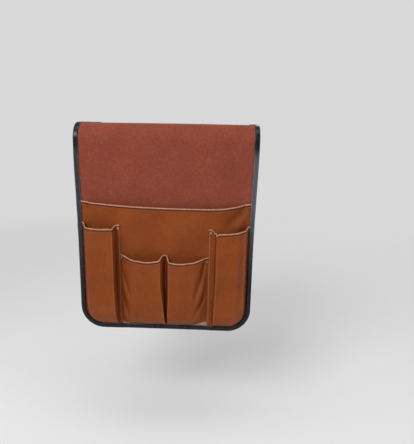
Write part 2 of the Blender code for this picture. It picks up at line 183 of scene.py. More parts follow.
def folded(x, drop, folds):
    """The height of folds in the leather. A fold is its start and its end as (x, drop), its width
    and its height, all in mm. It fades at both of its ends."""
    spot = Vector((x / mm, drop / mm))
    total = 0
    for start, end, width, height in folds:
        line = Vector(end) - Vector(start)
        away = spot - Vector(start)
        along = away.dot(line) / line.length_squared
        if 0 < along < 1:
            across = (away - line * along).length
            fade = math.sin(math.pi * along ** fold_skew)
            total += height * mm * fade * hump(across, width)
    return total


# The panel's form


def lay(side, x, run, height):
    """Puts a place on the flat cut onto the arm."""
    drop = max(run - bend_end, 0)
    hanging = smooth(drop / hang_run)
    ripple = ripple_mean + wavy(x, side * run, ripple_waves)
    reach = bend_radius + height + ripple * (ripple_on_arm + (1 - ripple_on_arm) * hanging)
    reach += (saddle_slope * x + saddle_crown * (1 - (x / half_width) ** 2)) * (1 - hanging)
    if run <= flat_half:
        return Vector((x, side * run, reach - bend_radius))
    swing = min((run - flat_half) / bend_length, 1) * math.pi / 2
    return Vector((
        x,
        side * (flat_half + reach * math.sin(swing)),
        reach * math.cos(swing) - bend_radius - drop,
    ))


def on_flap(x, drop, height):
    return lay(FRONT, x, bend_end + drop, height)


def edge_x(side, drop):
    """Half the panel's width above its corners. The pocket flap is drawn in a little."""
    return half_width - DRAW[side] * smooth(drop / side_draw_end)


def arc(radius, over):
    return math.sqrt(max(radius ** 2 - min(over, radius) ** 2, 0))


def half_width_at(side, inset, drop):
    """Half the panel's width, inside its edge by inset, at this drop."""
    over = drop - (STRAIGHT[side] - corner_radius)
    if over <= 0:
        return edge_x(side, drop) - inset
    return edge_x(side, drop) - corner_radius + arc(corner_radius - inset, over)


def foot_at(inset, x):
    """The drop of the pocket flap's foot at this x, inside its edge by inset."""
    over = abs(x) - (half_width - side_draw - corner_radius)
    if over <= 0:
        return front_straight - inset
    return front_straight - corner_radius + arc(corner_radius - inset, over)


def edge_distance(side, x, drop):
    """How far a place lies inside the panel's edge."""
    across = edge_x(side, drop) - abs(x)
    up = STRAIGHT[side] - drop
    over_x = corner_radius - across
    over_drop = corner_radius - up
    if over_x > 0 and over_drop > 0:
        return corner_radius - math.hypot(over_x, over_drop)
    return min(across, up)


def fullness(side, x, drop):
    """0 where the binding pinches the panel, 1 where it has its full thickness."""
    return smooth((edge_distance(side, x, drop) - pinch_start) / pinch_run)


def panel_top(side, x, drop):
    """Height of the suede's outer surface."""
    pinched = pinched_face + face_thickness
    return pinched + (panel_thickness - pinched) * fullness(side, x, drop)


# Pieces from grids

sharp_angle = math.radians(50)
soft_rim = 0.3
sharp_rim = 1.0
bend_scale = 260
bend_rounds = 2
tiny = 1e-9


def grid(columns, rows, place, flat):
    """A cloth's flat cut as a grid, each vertex moved by place(column, row). Flat gives the
    vertex's place on the cut, which becomes the cloth's UV map in metres."""
    bm = bmesh.new()
    bmesh.ops.create_grid(bm, x_segments=columns, y_segments=rows, size=0.5)
    cut = bm.loops.layers.uv.new("cut")
    for vert in bm.verts:
        column = round((vert.co.x + 0.5) * columns)
        row = round((vert.co.y + 0.5) * rows)
        vert.co = place(column, row)
        for loop in vert.link_loops:
            loop[cut].uv = flat(column, row)
    return bm


def add_object(name, data):
    made = bpy.data.objects.new(name, data)
    bpy.context.scene.collection.objects.link(made)
    return made


def mesh_object(name, bm, materials):
    mesh = bpy.data.meshes.new(name)
    bm.to_mesh(mesh)
    bm.free()
    for material in materials:
        mesh.materials.append(material)
    return add_object(name, mesh)


def make_piece(name, bm, materials):
    piece = mesh_object(name, bm, materials)
    return piece


def faces_out(piece):
    """Turns the piece's faces over."""
    bm = bmesh.new()
    bm.from_mesh(piece.data)
    bmesh.ops.reverse_faces(bm, faces=bm.faces)
    bm.to_mesh(piece.data)
    bm.free()


def settle(piece, thickness, rim, inner=0):
    """Gives a sheet its thickness behind its outer side, softens it and keeps the result. Inner
    is how many materials further on the inner side takes its own."""
    wall = piece.modifiers.new("Wall", "SOLIDIFY")
    wall.thickness = thickness
    wall.offset = -1
    wall.edge_crease_rim = rim
    wall.edge_crease_outer = rim
    wall.edge_crease_inner = rim
    wall.material_offset = inner
    soft = piece.modifiers.new("Soft", "SUBSURF")
    soft.levels = soft.render_levels = 1
    bpy.context.view_layer.update()
    shaped = piece.evaluated_get(bpy.context.evaluated_depsgraph_get())
    mesh = bpy.data.meshes.new_from_object(shaped)
    piece.modifiers.clear()
    piece.data = mesh
    mesh.shade_smooth()
    mesh.set_sharp_from_angle(angle=sharp_angle)
    mark_bends(mesh)
    return piece


def mark_bends(mesh):
    """Marks how sharply the surface bends at each vertex, as an attribute: above 0 on a ridge and
    below 0 in a fold. The materials paint ridges paler, partly as wear and partly as a painted
    highlight, and folds darker as painted shade."""
    count = len(mesh.vertices)
    spots = np.empty(count * 3, np.float32)
    mesh.vertices.foreach_get("co", spots)
    normals = np.empty(count * 3, np.float32)
    mesh.vertex_normals.foreach_get("vector", normals)
    ends = np.empty(len(mesh.edges) * 2, np.int32)
    mesh.edges.foreach_get("vertices", ends)
    spots, normals, ends = spots.reshape(-1, 3), normals.reshape(-1, 3), ends.reshape(-1, 2)
    first, second = ends.T
    away = spots[first] - spots[second]
    turn = (away * (normals[first] - normals[second])).sum(1)
    turn /= np.maximum((away * away).sum(1), tiny)
    number = np.bincount(first, minlength=count) + np.bincount(second, minlength=count)
    number = np.maximum(number, 1)
    bend = (np.bincount(first, turn, count) + np.bincount(second, turn, count)) / number
    for _ in range(bend_rounds):
        near = np.bincount(first, bend[second], count) + np.bincount(second, bend[first], count)
        bend = (bend + near / number) / 2
    marks = mesh.attributes.new("bend", "FLOAT", "POINT")
    marks.data.foreach_set("value", np.clip(bend / bend_scale, -1, 1).astype(np.float32))


def bend_with(piece):
    """Bakes the piece's place into its mesh."""
    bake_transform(piece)


# Magazine pocket

magazine_mouth_left = 136.5 * mm
magazine_mouth_right = 134.5 * mm
magazine_sag = 9.4 * mm
magazine_sag_shape = 1.3
magazine_low_x = 75 * mm
magazine_bow_left = 3
magazine_bow_right = 2
magazine_depth_mouth = 9 * mm
magazine_depth_foot = 5 * mm
magazine_side_rise = 22 * mm
magazine_foot_rise = 26 * mm
magazine_fold_rise = 5 * mm
magazine_height = 230 * mm
magazine_columns = 110
magazine_crowding = 1.35
magazine_middle_rows = 40
side_lift_run = 12 * mm
magazine_folds = (
    ((156, 99), (102, 153), 7, -5.8),
    ((148, 97), (92, 149), 14, -1.8),
    ((158, 109), (120, 157), 5, 2),
    ((146, 95), (74, 131), 7, 1.6),
    ((-150, 103), (-130, 125), 3.4, -2.6),
    ((-148, 111), (-96, 137), 7, 0.8),
)
magazine_waves = ((11, 13, 3.3, 0.9),)


def magazine_mouth(x):
    """The drop of the magazine pocket's mouth. It hangs lowest right of the middle."""
    edge = half_width - binding_width
    if x > magazine_low_x:
        reach, power = edge - magazine_low_x, magazine_bow_right
    else:
        reach, power = edge + magazine_low_x, magazine_bow_left
    bow = min(abs(x - magazine_low_x) / reach, 1) ** power
    tilt = (magazine_mouth_right - magazine_mouth_left) * (x + edge) / (2 * edge)
    return magazine_mouth_left + tilt - top + magazine_sag * (1 - bow) ** magazine_sag_shape


def magazine_top(x, drop):
    """Height of the magazine pocket's outer surface above the panel's underside. Its drag folds
    start at the mouth's ends, where the pocket's weight hangs on the binding."""
    inside = edge_distance(FRONT, x, drop) - free_edge
    foot = front_straight - free_edge - drop
    up = foot / (front_straight - magazine_mouth(x))
    depth = magazine_depth_mouth - magazine_depth_foot
    depth = magazine_depth_foot + depth * min(max(up, 0), 1)
    rise = depth * smooth(inside / magazine_side_rise) * smooth(foot / magazine_foot_rise)
    uneven = folded(x, drop, magazine_folds) + wavy(x, drop, magazine_waves)
    rise += uneven * smooth(rise / magazine_fold_rise)
    return panel_top(FRONT, x, drop) + leather_rise + max(rise, 0)


def sewn_on(x, drop):
    """Height of a small pocket's outer surface where it is sewn flat on the magazine pocket."""
    return magazine_top(x, drop) + leather_rise


# Small pockets

closing_start = 242 * mm
closing_run = 76 * mm
corner_steps = 5
wall_spacing = 2.2 * mm
front_spacing = 2.6 * mm
front_start = 1.2
front_rise = 0.25
crown_shape = 0.8
swell_shape = 1.8
foot_flat = 1.6 * mm
fold_rise = 6 * mm
allowance_rows = [-0.1, -0.05, -0.004]
allowance_sink = 0.9 * mm


def eased_path(corners, eases):
    """A path whose inner corners are rounded, each over its own length."""
    path = [corners[0]]
    for before, corner, after, ease in zip(corners, corners[1:], corners[2:], eases):
        start = corner + (before - corner) * min(ease / (before - corner).length, 0.5)
        end = corner + (after - corner) * min(ease / (after - corner).length, 0.5)
        for share in spread(0, 1, corner_steps):
            path.append(start.lerp(corner, share).lerp(corner.lerp(end, share), share))
    return path + [corners[-1]]


def wall_path(wall, depth):
    """One side of a small pocket from its edge: (inset, height). It is flat on its seam
    allowance, climbs a wall and folds over onto the front. Places are added on long straights."""
    flange, lean, shoulder, wall_ease, fold_ease = wall
    foot = Vector((flange, 0))
    over = Vector((flange + lean, depth * shoulder))
    front = over + Vector((fold_ease * front_start, depth * (1 - shoulder) * front_rise))
    path = eased_path([Vector((0, 0)), foot, over, front], [wall_ease, fold_ease])
    full = [path[0]]
    for a, b in zip(path, path[1:]):
        count = math.ceil((b - a).length / wall_spacing)
        full += [a.lerp(b, step / count) for step in range(1, count + 1)]
    return full


def pocket_columns(pocket):
    """Columns across a small pocket: (share of its width, inset from its left edge, inset from
    its right edge, share of its depth)."""
    depth = pocket["depth"]
    left = wall_path(pocket["left_wall"], depth)
    right = wall_path(pocket["right_wall"], depth)
    columns = [(0, place.x, 0, place.y / depth) for place in left]
    start, end = left[-1], right[-1]
    span = pocket["width"] - start.x - end.x
    count = round(span / front_spacing)
    for number in range(1, count):
        share = number / count
        level = (start.y + (end.y - start.y) * share) / depth
        crown = (1 - level) * math.sin(math.pi * share) ** crown_shape
        columns.append((share, start.x * (1 - share), end.x * share, level + crown))
    columns += [(1, 0, place.x, place.y / depth) for place in right[::-1]]
    return columns


def mouth_drop(pocket, share, bulge):
    """The drop of a small pocket's mouth, at this share of the way across it."""
    level = pocket["mouth_left"] + (pocket["mouth_right"] - pocket["mouth_left"]) * share
    bow = math.sin(math.pi * max(share, 0) ** (math.log(2) / -math.log(pocket["low_share"])))
    sag = pocket["sag"] * bulge * (1 - pocket["bow"] + pocket["bow"] * bow)
    dip_share, dip_width, dip_depth = pocket["dip"]
    return level - top + sag + dip_depth * hump(share - dip_share, dip_width)


def foot_swell(up, rounding):
    """How the bulge grows up from a pocket's foot."""
    left = 1 - min(max(up, 0) / rounding, 1)
    return (1 - left ** swell_shape) ** (1 / swell_shape)


def mouth_relief(below):
    """The leather's edge roll, stitch groove and hem, this far below the mouth."""
    roll = roll_height * hump(below, roll_run)
    groove = groove_depth * hump(below - groove_drop, groove_width)
    return roll - groove + hem_step * smooth((hem_end - below) / hem_end_run)


def mouth_lift(below):
    """How much a sewn mouth stands off, this far below it."""
    return hem_lift * smooth((hem_lift_end - below) / hem_lift_run)


def small_pocket(pocket, column, v):
    """A place on a small pocket's outer surface, v of the way from its foot up to its mouth. Below
    the foot it goes on as a flat seam allowance."""
    share, left_inset, right_inset, bulge = column
    across = share + (left_inset - right_inset) / pocket["width"]
    low = pocket["low"](across)
    mouth = mouth_drop(pocket, across, bulge)
    drop = low + (mouth - low) * max(v, 0)
    if v < 0:
        drop = low + (front_straight - tuck - low) * min(v / allowance_rows[0], 1)
    start, end = pocket["left"](drop), pocket["right"](drop)
    left_close, right_close = pocket["closing"]
    closing = smooth((drop - closing_start) / closing_run)
    x = start + (end - start) * share
    x += left_inset * (1 - left_close * closing) - right_inset * (1 - right_close * closing)
    below = drop - mouth
    foot = min(pocket["foot"](x), low) - drop
    depth = pocket["depth"] * bulge * foot_swell(foot - foot_flat, pocket["rounding"])
    uneven = folded(x, drop, pocket["folds"]) + wavy(x, drop, pocket["waves"])
    depth += uneven * smooth(depth / fold_rise)
    depth += mouth_relief(below) + mouth_lift(below) * (1 - bulge)
    if v < 0:
        depth = -allowance_sink
    return on_flap(x, drop, sewn_on(x, drop) + depth)


def tall_pocket(side, seam, **shape):
    """A tall pocket, from the panel's left or right side, -1 or 1, to its seam."""
    sides = [lambda drop: side * half_width_at(FRONT, tuck, drop), lambda drop: seam]
    return {
        "left": sides[0 if side < 0 else 1],
        "right": sides[1 if side < 0 else 0],
        "width": half_width - tuck - side * seam,
        "low": lambda share: front_straight - tuck,
        "foot": lambda x: foot_at(sewn_edge, x),
        "rounding": 36 * mm,
        "bow": 0.5,
        "waves": ((34, 5, 5.9, 0.7), (12, 12, 1.7, 0.8)),
        **shape,
    }


def low_pocket(side, start, end, lift, lift_run, **shape):
    """A lower pocket between two seams. Its foot curves up towards its outer side, -1 or 1."""
    width = end - start

    def low(share):
        away = share if side < 0 else 1 - share
        return front_straight - free_edge - lift * smooth(1 - away * width / lift_run)

    return {
        "left": lambda drop: start,
        "right": lambda drop: end,
        "width": width,
        "low": low,
        "foot": lambda x: low((x - start) / width),
        "rounding": 27 * mm,
        **shape,
    }


# A wall is its seam allowance, how far it leans in, its share of the depth at the fold, and how
# softly it turns at its foot and at the fold. A dip in the mouth is its share of the way across,
# its width as a share and its depth. Closing is how much of each wall's inset is gone at the foot.
wall_start = sewn_edge - tuck + 1.6 * mm
remote_seam = -80.8 * mm
centre_seam = 0.5 * mm
glasses_seam = 77.5 * mm
seam_gap = 0.5 * mm
centre_gap = 0.25 * mm
centre_wall = (1.4 * mm, 5.6 * mm, 0.95, 1.2 * mm, 2.8 * mm)
outer_wall = (1.6 * mm, 20 * mm, 0.86, 6 * mm, 12 * mm)
small_pockets = {
    "remote_pocket": tall_pocket(
        -1, remote_seam,
        mouth_left=174.5 * mm, mouth_right=176 * mm,
        sag=3.6 * mm, low_share=0.55, dip=(0.9, 0.04, 1.2 * mm),
        depth=24 * mm,
        left_wall=(wall_start, 10 * mm, 0.93, 3 * mm, 3 * mm),
        right_wall=(7.6 * mm, 0.2 * mm, 0.93, 1.5 * mm, 2.8 * mm),
        closing=(0, 0.25),
        folds=(((-124, 172), (-127, 330), 5, -0.9), ((-100, 190), (-97, 346), 5, -0.7)),
    ),
    "phone_pocket": low_pocket(
        -1, remote_seam + seam_gap, centre_seam - centre_gap, 3 * mm, 16 * mm,
        mouth_left=230 * mm, mouth_right=230 * mm,
        sag=7.6 * mm, low_share=0.58, bow=0.6, dip=(0.95, 0.04, -2.5 * mm),
        depth=21 * mm,
        left_wall=outer_wall, right_wall=centre_wall,
        closing=(0, 0.95),
        folds=(
            ((-81, 222), (-60, 276), 2.9, -4.8),
            ((-81, 268), (-60, 330), 2.8, -5),
            ((-77, 250), (-56, 308), 3.4, 2.2),
        ),
        waves=((24, 12, 9.2, 0.9),),
    ),
    "card_pocket": low_pocket(
        1, centre_seam + centre_gap, glasses_seam - seam_gap, 9 * mm, 30 * mm,
        mouth_left=230 * mm, mouth_right=232 * mm,
        sag=9.4 * mm, low_share=0.32, bow=0.5, dip=(0.03, 0.03, 0),
        depth=18 * mm,
        left_wall=(1.4 * mm, 5.2 * mm, 0.95, 1.2 * mm, 2.8 * mm),
        right_wall=outer_wall,
        closing=(0.3, 0),
        folds=(
            ((73, 206), (48, 300), 3.8, -4.6),
            ((77, 236), (56, 296), 3.4, 2.2),
            ((76, 268), (48, 326), 2.8, -4.6),
        ),
        waves=((22, 12, 4.7, 0.9),),
    ),
    "glasses_pocket": tall_pocket(
        1, glasses_seam,
        mouth_left=180.5 * mm, mouth_right=174.5 * mm,
        sag=5 * mm, low_share=0.36, dip=(0.14, 0.04, 7.5 * mm),
        depth=20 * mm,
        left_wall=(12.4 * mm, 1 * mm, 0.95, 2 * mm, 3 * mm),
        right_wall=(wall_start, 4.4 * mm, 0.86, 2 * mm, 3.6 * mm),
        closing=(0.18, 0),
        folds=(
            ((93, 226), (88.5, 352), 3, 1.3),
            ((101, 190), (99, 346), 5, -1),
            ((137, 148), (134, 330), 4, -3),
        ),
    ),
}

# Rows of a leather sheet, in mm up from its foot and down from its mouth
foot_rows = (0, 1.5, 3, 5, 7.5, 10.5, 14, 18, 23, 29)
foot_rows_end = 36
mouth_rows_start = 12
mouth_rows = (10, 8.2, 7, 5.4, 4.4, 3.7, 3.0, 2.3, 1.6, 0.8, 0)
middle_rows = 20
hem_turns = 5
hem_rows = (4, 6, 8)


def sheet_shares(height, middle):
    """Shares of a leather sheet's height: close rows at its foot and at its mouth."""
    unit = mm / height
    shares = [rise * unit for rise in foot_rows]
    shares += spread(foot_rows_end * unit, 1 - mouth_rows_start * unit, middle)
    return shares + [1 - fall * unit for fall in mouth_rows]


def leather_sheet(surface, columns, shares, pale_rows=0):
    """A leather sheet up to its mouth, folded over there and down inside as a hem. Surface gives
    a place on its outer side for a column and a share of the height. On the cut the mouth lies
    at 0, and the lowest pale_rows rows show the leather's back."""
    spots = [[surface(column, share) for column in range(columns + 1)] for share in shares]
    last = len(shares) - 1
    turns = spread(0, math.pi, hem_turns)[1:]

    def vertex(column, row):
        if row <= last:
            return spots[row][column]
        before, after = max(column - 1, 0), min(column + 1, columns)
        start = spots[last][column]
        up = (start - spots[last - 2][column]).normalized()
        out = (spots[last][after] - spots[last][before]).cross(up).normalized()
        if row <= last + len(turns):
            turn = turns[row - last - 1]
            return start + up * hem_fold * math.sin(turn) - out * hem_fold * (1 - math.cos(turn))
        level = last - hem_rows[row - last - len(turns) - 1]
        return spots[level][column] - out * 2 * hem_fold

    middle = spots[last * 2 // 3]
    across = [0]
    for a, b in zip(middle, middle[1:]):
        across.append(across[-1] + (b - a).length)
    tall = (spots[last][columns // 2] - spots[0][columns // 2]).length

    def flat(column, row):
        rise = (shares[row] - 1) * tall if row <= last else (row - last) * mm
        return across[column], rise

    bm = grid(columns, last + len(turns) + len(hem_rows), vertex, flat)
    if pale_rows:
        bm.verts.index_update()
        for face in bm.faces:
            rows = [vert.index // (columns + 1) for vert in face.verts]
            face.material_index = 1 if max(rows) <= pale_rows else 0
    return bm


def magazine_surface(column, v):
    """A place on the magazine pocket's outer surface, v of the way from its foot to its mouth."""
    share = 2 * column / magazine_columns - 1
    share = math.copysign(1 - (1 - abs(share)) ** magazine_crowding, share)
    mouth = magazine_mouth(share * (half_width - tuck))
    foot = front_straight - tuck
    drop = foot + (mouth - foot) * v
    x = share * half_width_at(FRONT, tuck, drop)
    below = drop - mouth
    lift = mouth_lift(below) * (1 - smooth((half_width - abs(x) - sewn_edge) / side_lift_run))
    return on_flap(x, drop, magazine_top(x, drop) + mouth_relief(below) + lift)


def make_pockets(leather, backing):
    shares = sheet_shares(magazine_height, magazine_middle_rows)
    sheets = {"magazine_pocket": leather_sheet(magazine_surface, magazine_columns, shares)}
    for name, pocket in small_pockets.items():
        places = pocket_columns(pocket)
        shares = sheet_shares(pocket["low"](0.5) - pocket["mouth_left"] + top, middle_rows)
        pale_rows = 0
        if name in ("phone_pocket", "card_pocket"):
            shares = allowance_rows + shares
            pale_rows = 2
        sheets[name] = leather_sheet(
            lambda column, v: small_pocket(pocket, places[column], v),
            len(places) - 1, shares, pale_rows,
        )
    made = {}
    for name, sheet in sheets.items():
        made[name] = make_piece(name + "_leather", sheet, [leather, backing])
    for name, piece in made.items():
        settle(piece, leather_thickness, soft_rim, 1)
        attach(piece, "pocket_flap")
        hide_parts(name)
    return made


# Panel layers and binding

first_runs = [0, 1 * mm]
arm_start = 10 * mm
layer_runs = (5, 18, 34)
layer_turns = 12
layer_columns = 44
foam_columns = 24
layer_crowding = 1.6
binding_runs = (9, 24, 100)
binding_turns = 36
binding_foot_runs = 60


def straight_runs(side, counts):
    """Runs from the panel's middle line to its corners. Counts are how many follow on the arm,
    round the bend and down the flap."""
    on_arm, round_bend, down = counts
    corner = bend_end + STRAIGHT[side] - corner_radius
    runs = first_runs + spread(arm_start, flat_half, on_arm)
    runs += spread(flat_half, bend_end, round_bend)[1:]
    return runs + spread(bend_end, corner, down)[1:]


def layer_piece(name, side, inset, thickness, height, materials, columns=layer_columns):
    """One sheet of the panel from its middle line to its foot, its columns close together at its
    sides. Height gives its upper surface."""
    runs = straight_runs(side, layer_runs)
    corner = runs[-1]
    for turn in spread(0, math.pi / 2, layer_turns)[1:]:
        runs.append(corner + (corner_radius - inset) * math.sin(turn))
    shares = [
        math.copysign(1 - (1 - abs(share)) ** layer_crowding, share)
        for share in spread(-1, 1, columns)
    ]

    def spot(column, row):
        drop = max(runs[row] - bend_end, 0)
        return shares[column] * half_width_at(side, inset, drop), runs[row]

    def vertex(column, row):
        x, run = spot(column, row)
        return lay(side, x, run, height(x, max(run - bend_end, 0)))

    bm = grid(columns, len(runs) - 1, vertex, spot)
    piece = make_piece(name, bm, materials)
    if side == FRONT:
        faces_out(piece)
    return settle(piece, thickness, sharp_rim)


tall_mouths = 177 * mm
tall_inner = 77 * mm
tall_inner_run = 6 * mm


def raised(below, share=1):
    """How much a sheet of leather raises the binding this far below its mouth, with a bump at its
    hem. Share is how much of the sheet lies there."""
    bump = hem_bump * hump(below - bump_drop, bump_run)
    return leather_rise * share * smooth((below + bump_run / 2) / bump_run) + bump


def leather_under_binding(side, x, drop):
    """How much the pockets' leather raises the binding."""
    if side == REAR or drop <= 0:
        return 0
    lift = raised(drop - magazine_mouth(x))
    if abs(x) > tall_inner:
        lift += raised(drop - tall_mouths + top, smooth((abs(x) - tall_inner) / tall_inner_run))
    return lift


# The folded tape's section
inner_leg = (binding_width, 6 * mm, 3.4 * mm)
edge_turns = 3
crown_turns = spread(0.2, math.pi - 0.25, 8)
crown_sink = 0.2 * mm
cloth_gap = 0.15 * mm
outer_first = 6
outer_grows = 3
outer_ends = 4
inset_first = 8
drift_along = 22
drift_side = 3.1
drift_column = 0.05


def binding_section(lift, hanging):
    """The folded tape's outer surface, from its edge on the arm's side, round the panel's edge,
    to its edge on the outer side: (inset, height). It lies flatter on the arm than where it
    hangs."""
    leg = pinched_face + face_thickness + cloth_gap + lift
    crown = leg + binding_thickness
    bulge = binding_crown * (crown_on_arm + (1 - crown_on_arm) * hanging)
    points = [(inset, binding_foot) for inset in inner_leg]
    for turn in spread(0, math.pi / 2, edge_turns):
        points.append((
            binding_round * (1 - math.sin(turn)),
            binding_foot + binding_round * (1 - math.cos(turn)),
        ))
    for rise in crown_turns:
        inset = binding_width / 2 * (1 - math.cos(rise))
        points.append((inset, crown - crown_sink + bulge * math.sin(rise)))
    points.append((binding_width + 0.1 * mm, crown - 0.1 * mm))
    points.append((binding_width + 0.05 * mm, leg + 0.25 * mm))
    points.append((binding_width - 0.9 * mm, leg))
    return points


def binding_path(side):
    """Stations along the panel's edge: (x, run, outward x, outward run), from the middle line on
    the left, round the foot, to the middle line on the right."""
    runs = straight_runs(side, binding_runs)
    half = [(edge_x(side, run - bend_end), run, 1, 0) for run in runs]
    corner = runs[-1]
    centre = half_width - DRAW[side] - corner_radius
    for turn in spread(0, math.pi / 2, binding_turns)[1:]:
        out_x, out_run = math.cos(turn), math.sin(turn)
        half.append((centre + corner_radius * out_x, corner + corner_radius * out_run, out_x, out_run))
    left = [(-x, run, -out_x, out_run) for x, run, out_x, out_run in half]
    foot = corner + corner_radius
    across = [(x, foot, 0, 1) for x in spread(-centre, centre, binding_foot_runs)[1:-1]]
    return left + across + half[::-1]


def binding_piece(side, vinyl):
    """The folded tape, gathered round the corners, and its length."""
    path = binding_path(side)
    last = len(binding_section(0, 0)) - 1
    lengths = [0]
    for (x0, run0, _, _), (x1, run1, _, _) in zip(path, path[1:]):
        lengths.append(lengths[-1] + math.hypot(x1 - x0, run1 - run0))

    def vertex(column, row):
        x, run, out_x, out_run = path[row]
        lift = leather_under_binding(side, x, run - bend_end)
        hanging = smooth((run - bend_end) / crown_run)
        inset, height = binding_section(lift, hanging)[column]
        gather = gather_depth * min(abs(out_x), abs(out_run)) * gather_share
        wave = math.sin(lengths[row] / gather_length * 2 * math.pi)
        outer = smooth((column - outer_first) / outer_grows)
        outer *= smooth((last - 1 - column) / outer_ends)
        place = (lengths[row] * drift_along, side * drift_side, column * drift_column)
        drift = noise.noise(Vector(place))
        height += (gather * wave + drift * drift_height) * outer
        inset += drift * drift_inset if column > inset_first else 0
        return lay(side, x - inset * out_x, run - inset * out_run, height)

    def flat(column, row):
        return column / last * binding_cut, lengths[row]

    bm = grid(last, len(path) - 1, vertex, flat)
    name = "binding_front" if side == FRONT else "binding_rear"
    piece = make_piece(name, bm, [vinyl])
    if side == REAR:
        faces_out(piece)
    settle(piece, binding_thickness, soft_rim)
    return piece, lengths[-1]


# Thread

cast_start = 6 * mm
cast_length = 14 * mm
binding_seam = 1.6 * mm
mouth_seam_x = 149 * mm
centre_seam_thread = (-0.6 * mm, 238 * mm, 360 * mm)
seam_rows = (
    ("remote_pocket", -82 * mm, 179 * mm, 364 * mm),
    ("glasses_pocket", 79.4 * mm, 184 * mm, 362 * mm),
)
tacks = (
    ("remote_pocket", -83.6 * mm, 179.5 * mm),
    ("glasses_pocket", 81.2 * mm, 183.5 * mm),
    ("phone_pocket", -78.8 * mm, 232.5 * mm),
    ("card_pocket", 75.6 * mm, 237 * mm),
)


def away_from_arm(spot):
    """Straight out from the panel at a place on it."""
    side = FRONT if spot.y < 0 else REAR
    if abs(spot.y) < flat_half:
        return Vector((0, 0, 1))
    if spot.z < -bend_radius:
        return Vector((0, side, 0))
    return Vector((0, spot.y - side * flat_half, spot.z + bend_radius)).normalized()


class Stitches:
    """Rows of short rounded stitches, each laid down on the piece below it."""

    def __init__(self):
        self.bm = bmesh.new()
        one = bmesh.new()
        bmesh.ops.create_uvsphere(
            one, u_segments=6, v_segments=5, radius=1, matrix=Matrix.Rotation(math.pi / 2, 4, "Y")
        )
        self.shape = bpy.data.meshes.new("stitch")
        one.to_mesh(self.shape)
        one.free()
        self.spots = [tuple(vert.co) for vert in self.shape.vertices]

    def add(self, start, end, normal, radius):
        along = end - start
        length = along.length
        along.normalize()
        side = normal.cross(along).normalized()
        turn = Matrix((along, side, along.cross(side))).transposed().to_4x4()
        size = Matrix.Diagonal((length / 2, radius, radius, 1))
        middle = (start + end) / 2 + normal * radius * stitch_rise
        place = Matrix.Translation(middle) @ turn @ size
        for vert, spot in zip(self.shape.vertices, self.spots):
            vert.co = place @ Vector(spot)
        self.bm.from_mesh(self.shape)

    def row(self, piece, points, radius, pitch=stitch_pitch, length=stitch_length):
        """A row along points, each stitch set down on the piece's surface."""
        tree = BVHTree.FromObject(piece, bpy.context.evaluated_depsgraph_get())
        lengths = [0]
        for a, b in zip(points, points[1:]):
            lengths.append(lengths[-1] + (b - a).length)
        segment = 1
        for number in range(int(lengths[-1] / pitch)):
            distance = number * pitch + (pitch - length) / 2
            ends = []
            for reach in (distance, distance + length):
                while segment < len(points) - 1 and reach > lengths[segment]:
                    segment += 1
                run = max(lengths[segment] - lengths[segment - 1], tiny)
                share = (reach - lengths[segment - 1]) / run
                spot = points[segment - 1].lerp(points[segment], share)
                out = away_from_arm(spot)
                hit, normal, _, _ = tree.ray_cast(spot + out * cast_start, -out, cast_length)
                if hit is None:
                    hit, normal, _, _ = tree.find_nearest(spot)
                ends.append((hit, normal))
            (first, lean), (second, other) = ends
            if (second - first).length < 2 * length:
                self.add(first, second, (lean + other).normalized(), radius)

    def piece(self, name, thread, slot):
        bpy.data.meshes.remove(self.shape)
        made = make_piece(name, self.bm, [thread])
        made.data.shade_smooth()
        return made


def sewn_line(x, start, end):
    """A line down a pocket's seam, between two levels."""
    drops = [level - top for level in spread(start, end, seam_points)]
    return [on_flap(x, drop, sewn_on(x, drop)) for drop in drops]


def binding_stitches(side, binding, thread):
    stitches = Stitches()
    points = []
    inset = binding_width - binding_seam
    for x, run, out_x, out_run in binding_path(side):
        lift = leather_under_binding(side, x, run - bend_end)
        height = pinched_face + face_thickness + binding_thickness + lift
        points.append(lay(side, x - inset * out_x, run - inset * out_run, height))
    stitches.row(binding, points, fine_thread)
    name = "binding_thread_front" if side == FRONT else "binding_thread_rear"
    piece = stitches.piece(name, thread, "binding")
    bend_with(piece)
    return piece


def mouth_stitches(pockets, thread):
    """The seams that hold the mouths' hems, sunk in their grooves, and the centre seam."""
    stitches = Stitches()
    line = []
    for x in spread(-mouth_seam_x, mouth_seam_x, mouth_points):
        drop = magazine_mouth(x) + groove_drop
        line.append(on_flap(x, drop, magazine_top(x, drop)))
    stitches.row(pockets["magazine_pocket"], line, fine_thread)
    for name, pocket in small_pockets.items():
        height = pocket["low"](0.5) - pocket["mouth_left"] + top
        level = 1 - groove_drop / height
        line = [small_pocket(pocket, column, level) for column in pocket_columns(pocket)]
        stitches.row(pockets[name], line, fine_thread)
    stitches.row(pockets["phone_pocket"], sewn_line(*centre_seam_thread), fine_thread)
    piece = stitches.piece("mouth_thread", thread, "leather")
    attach(piece, "pocket_flap")


def seam_stitches(pockets, thread):
    """Rows down the pockets' seams, with a close bar tack where each mouth meets its seam."""
    stitches = Stitches()
    for name, x, start, end in seam_rows:
        line = sewn_line(x, start, end)
        stitches.row(pockets[name], line, seam_thread, seam_pitch, seam_stitch)
    for name, x, level in tacks:
        for number in range(tack_count):
            drop = level - top + number * tack_step
            height = sewn_on(x, drop)
            ends = [on_flap(x + shift, drop, height) for shift in (-tack_width / 2, tack_width / 2)]
            stitches.row(pockets[name], ends, tack_thread, tack_width, tack_width)
    piece = stitches.piece("pocket_thread", thread, "leather")
    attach(piece, "pocket_flap")


# Nodes


def add_node(tree, kind, inputs=None, **settings):
    node = tree.nodes.new("ShaderNode" + kind)
    for key, value in settings.items():
        setattr(node, key, value)
    for key, value in (inputs or {}).items():
        socket = node.inputs[key]
        if isinstance(value, bpy.types.NodeSocket):
            tree.links.new(value, socket)
        elif isinstance(value, tuple):
            socket.default_value = (*value, 1)
        else:
            socket.default_value = value
    return node


